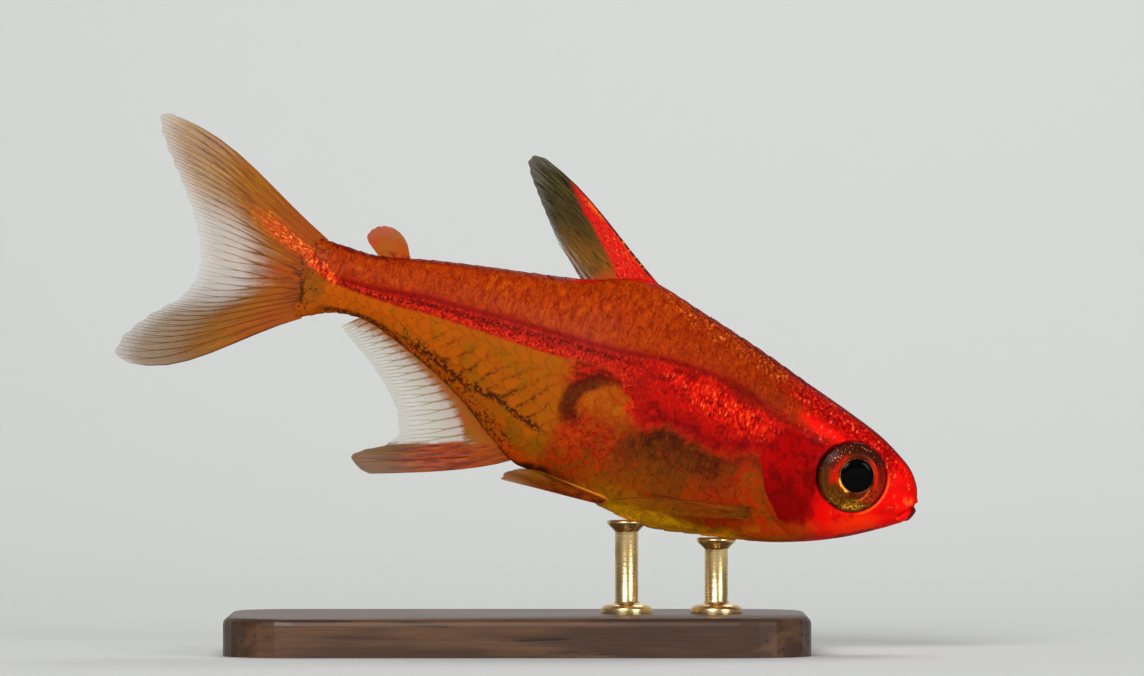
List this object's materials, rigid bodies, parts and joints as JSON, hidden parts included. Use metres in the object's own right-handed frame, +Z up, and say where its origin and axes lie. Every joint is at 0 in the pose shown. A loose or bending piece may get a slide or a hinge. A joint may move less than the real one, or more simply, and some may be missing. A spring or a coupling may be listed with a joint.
{
  "type": "ember tetra fish model on a display stand",
  "caption": "Life-size ember tetra swimming head down, with rayed fins, held over a flat wooden base by short brass rods.",
  "frame": {"origin": "middle of the model's length and width, on the surface that the stand's base rests on", "axes": "+X the way the fish faces, along the base's length; +Y to the fish's left; +Z up"},
  "size_m": [0.025, 0.011, 0.0167],
  "materials": {
    "skin": "scaled fish skin, wet gloss, orange to red",
    "fins": "thin rayed membrane, partly see-through",
    "eyes": "glossy eye, brown and gold iris, black pupil",
    "stand_wood": "dark satin wood",
    "stand_brass": "brushed brass"
  },
  "bodies": {
    "root": {"head": "skin", "trunk": "skin", "tail_stem": "skin", "dorsal_fin": "fins", "adipose_fin": "fins", "anal_fin": "fins", "caudal_fin": "fins", "pectoral_fin_left": "fins", "pectoral_fin_right": "fins", "pelvic_fin_left": "fins", "pelvic_fin_right": "fins", "eye_left": "eyes", "eye_right": "eyes", "stand_base": "stand_wood", "stand_rod_front": "stand_brass", "stand_rod_rear": "stand_brass"}
  },
  "joints": []
}
